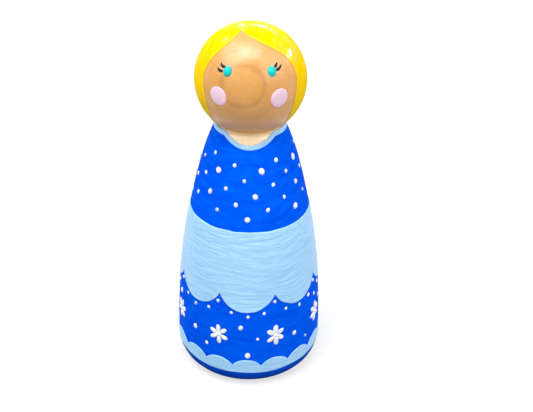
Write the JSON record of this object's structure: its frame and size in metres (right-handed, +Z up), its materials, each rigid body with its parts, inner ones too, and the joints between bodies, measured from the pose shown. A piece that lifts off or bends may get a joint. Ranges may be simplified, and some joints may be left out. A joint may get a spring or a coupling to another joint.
{
  "type": "peg doll",
  "caption": "Turned wooden peg doll with a rounded base edge and a glued ball head, hand-painted in gloss paint with a scalloped dress, raised dots, petal flowers, hair and a simple face.",
  "frame": {"origin": "centre of the flat base, at the height that the doll stands on", "axes": "+Z up along the turning axis to the crown, -Y out of the face, +X to the viewer's right when the face is seen"},
  "size_m": [0.0376, 0.0377, 0.0892],
  "materials": {
    "body_wood": "varnished maple or beech",
    "head_wood": "varnished maple or beech with growth rings",
    "dowel_wood": "plain beech",
    "dress_paint": "gloss acrylic paint, deep blue",
    "pale_blue_paint": "gloss acrylic paint, pale blue, brushed",
    "white_paint": "gloss acrylic paint, white, raised",
    "hair_paint": "gloss acrylic paint, yellow, brushed",
    "eye_paint": "gloss acrylic paint, teal",
    "lash_paint": "gloss acrylic paint, near black",
    "cheek_paint": "gloss acrylic paint, pale pink"
  },
  "bodies": {
    "root": {"body_peg": "body_wood", "head_ball": "head_wood", "neck_dowel": "dowel_wood", "dress_coat": "dress_paint", "collar_band": "pale_blue_paint", "waist_tier": "pale_blue_paint", "hem_band": "pale_blue_paint", "bodice_dots": "white_paint", "skirt_dots": "white_paint", "skirt_flowers": "white_paint", "hair_coat": "hair_paint", "eyes": "eye_paint", "eyelashes": "lash_paint", "cheeks": "cheek_paint"}
  },
  "joints": []
}
